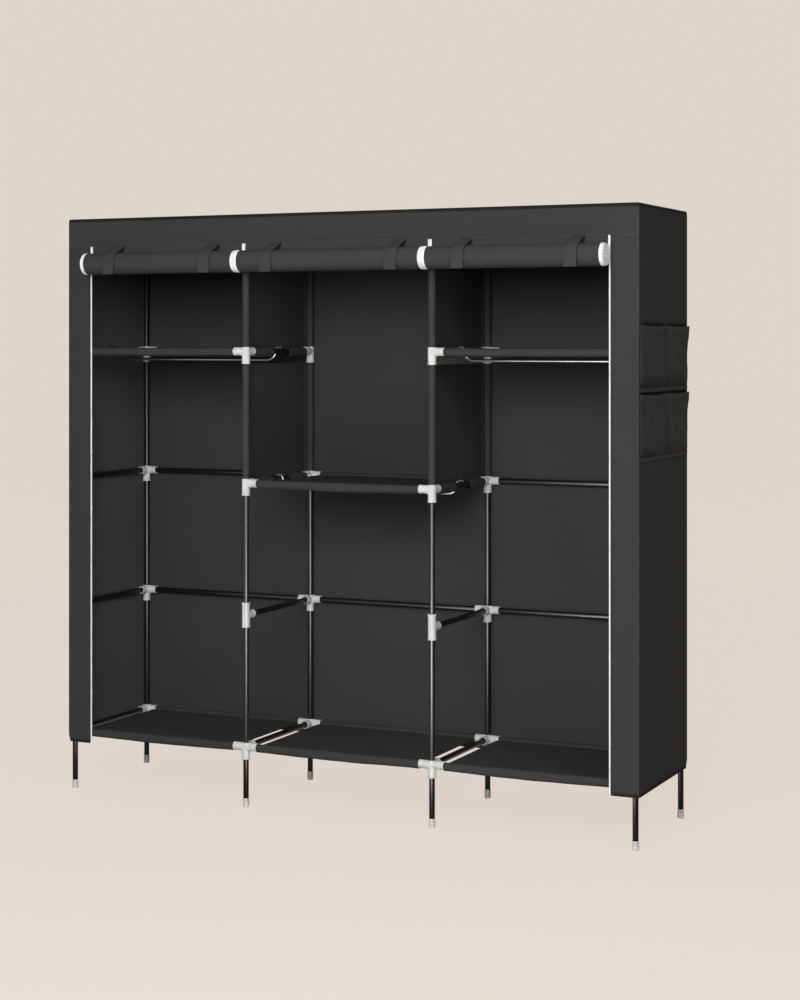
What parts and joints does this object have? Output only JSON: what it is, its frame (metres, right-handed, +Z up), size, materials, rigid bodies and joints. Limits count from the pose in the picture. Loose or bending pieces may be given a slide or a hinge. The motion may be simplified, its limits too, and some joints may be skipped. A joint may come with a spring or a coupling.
{
  "type": "portable fabric wardrobe",
  "caption": "Free-standing wardrobe with a plug-together steel tube frame, a dark fabric cover, roll-up zipped doors, cloth shelves, hanging rods and side pockets.",
  "frame": {"origin": "on the floor, below the middle of the whole box", "axes": "+X to the right and +Y to the back for someone in front of the wardrobe, +Z up"},
  "size_m": [1.8996, 0.5204, 1.8],
  "materials": {
    "steel": "black powder coat, satin",
    "frame": "black powder-coated tube with pale plastic connectors and foot caps",
    "connector": "translucent off-white moulded plastic",
    "cloth": "charcoal non-woven cloth with a fine embossed grain",
    "shelf": "black non-woven cloth",
    "door": "charcoal non-woven cloth, rolled",
    "strap": "black webbing",
    "zip": "white zip teeth on tape"
  },
  "bodies": {
    "root": {"end_frame_left": "frame", "inner_frame_left": "frame", "inner_frame_right": "frame", "end_frame_right": "frame", "rail_front_bottom_left": "steel", "rail_front_bottom_middle": "steel", "rail_front_bottom_right": "steel", "rail_front_middle_middle": "steel", "rail_front_upper_left": "steel", "rail_front_upper_right": "steel", "rail_front_top_left": "steel", "rail_front_top_middle": "steel", "rail_front_top_right": "steel", "rail_back_bottom_left": "steel", "rail_back_bottom_middle": "steel", "rail_back_bottom_right": "steel", "rail_back_lower_left": "steel", "rail_back_lower_middle": "steel", "rail_back_lower_right": "steel", "rail_back_middle_left": "steel", "rail_back_middle_middle": "steel", "rail_back_middle_right": "steel", "rail_back_upper_left": "steel", "rail_back_upper_right": "steel", "rail_back_top_left": "steel", "rail_back_top_middle": "steel", "rail_back_top_right": "steel", "cover_top": "cloth", "cover_back": "cloth", "cover_side_left": "cloth", "cover_side_right": "cloth", "cover_header": "cloth", "cover_strip_left": "cloth", "cover_strip_right": "cloth", "zip_tape_left": "zip", "zip_tape_right": "zip", "door_panel_left": "door", "door_panel_middle": "door", "door_panel_right": "door", "shelf_bottom_left": "shelf", "shelf_bottom_middle": "shelf", "shelf_bottom_right": "shelf", "shelf_upper_left": "shelf", "shelf_middle_middle": "shelf", "shelf_upper_right": "shelf", "divider_left": "cloth", "divider_right": "cloth", "side_pockets": "door"},
    "door_left": {"door_roll_left": "door"},
    "door_middle": {"door_roll_middle": "door"},
    "door_right": {"door_roll_right": "door"},
    "strap_left_1": {"strap_left_1": "strap"},
    "strap_left_2": {"strap_left_2": "strap"},
    "strap_middle_1": {"strap_middle_1": "strap"},
    "strap_middle_2": {"strap_middle_2": "strap"},
    "strap_right_1": {"strap_right_1": "strap"},
    "strap_right_2": {"strap_right_2": "strap"},
    "rod_left": {"hanging_rod_left": "steel"},
    "rod_middle": {"hanging_rod_middle": "steel"},
    "rod_right": {"hanging_rod_right": "steel"}
  },
  "joints": [
    {"name": "door_left_unroll", "type": "slide", "parent": "root", "child": "door_left", "axis": [0, 0, -1], "range_m": [0, 1.47], "deforming": ["door_panel_left"]},
    {"name": "door_middle_unroll", "type": "slide", "parent": "root", "child": "door_middle", "axis": [0, 0, -1], "range_m": [0, 1.47], "deforming": ["door_panel_middle"]},
    {"name": "door_right_unroll", "type": "slide", "parent": "root", "child": "door_right", "axis": [0, 0, -1], "range_m": [0, 1.47], "deforming": ["door_panel_right"]},
    {"name": "strap_left_1_open", "type": "hinge", "parent": "root", "child": "strap_left_1", "pos_m": [-0.75688, -0.19083, 1.71095], "axis": [-1, 0, 0], "range_deg": [0, 100]},
    {"name": "strap_left_2_open", "type": "hinge", "parent": "root", "child": "strap_left_2", "pos_m": [-0.41623, -0.19083, 1.71095], "axis": [-1, 0, 0], "range_deg": [0, 100]},
    {"name": "strap_middle_1_open", "type": "hinge", "parent": "root", "child": "strap_middle_1", "pos_m": [-0.20367, -0.19083, 1.71095], "axis": [-1, 0, 0], "range_deg": [0, 100]},
    {"name": "strap_middle_2_open", "type": "hinge", "parent": "root", "child": "strap_middle_2", "pos_m": [0.20898, -0.19083, 1.71095], "axis": [-1, 0, 0], "range_deg": [0, 100]},
    {"name": "strap_right_1_open", "type": "hinge", "parent": "root", "child": "strap_right_1", "pos_m": [0.41934, -0.19083, 1.71095], "axis": [-1, 0, 0], "range_deg": [0, 100]},
    {"name": "strap_right_2_open", "type": "hinge", "parent": "root", "child": "strap_right_2", "pos_m": [0.76216, -0.19083, 1.71095], "axis": [-1, 0, 0], "range_deg": [0, 100]},
    {"name": "rod_left_slide", "type": "slide", "parent": "root", "child": "rod_left", "axis": [0, 1, 0], "range_m": [-0.045, 0.045]},
    {"name": "rod_middle_slide", "type": "slide", "parent": "root", "child": "rod_middle", "axis": [0, 1, 0], "range_m": [-0.045, 0.045]},
    {"name": "rod_right_slide", "type": "slide", "parent": "root", "child": "rod_right", "axis": [0, 1, 0], "range_m": [-0.045, 0.045]}
  ]
}
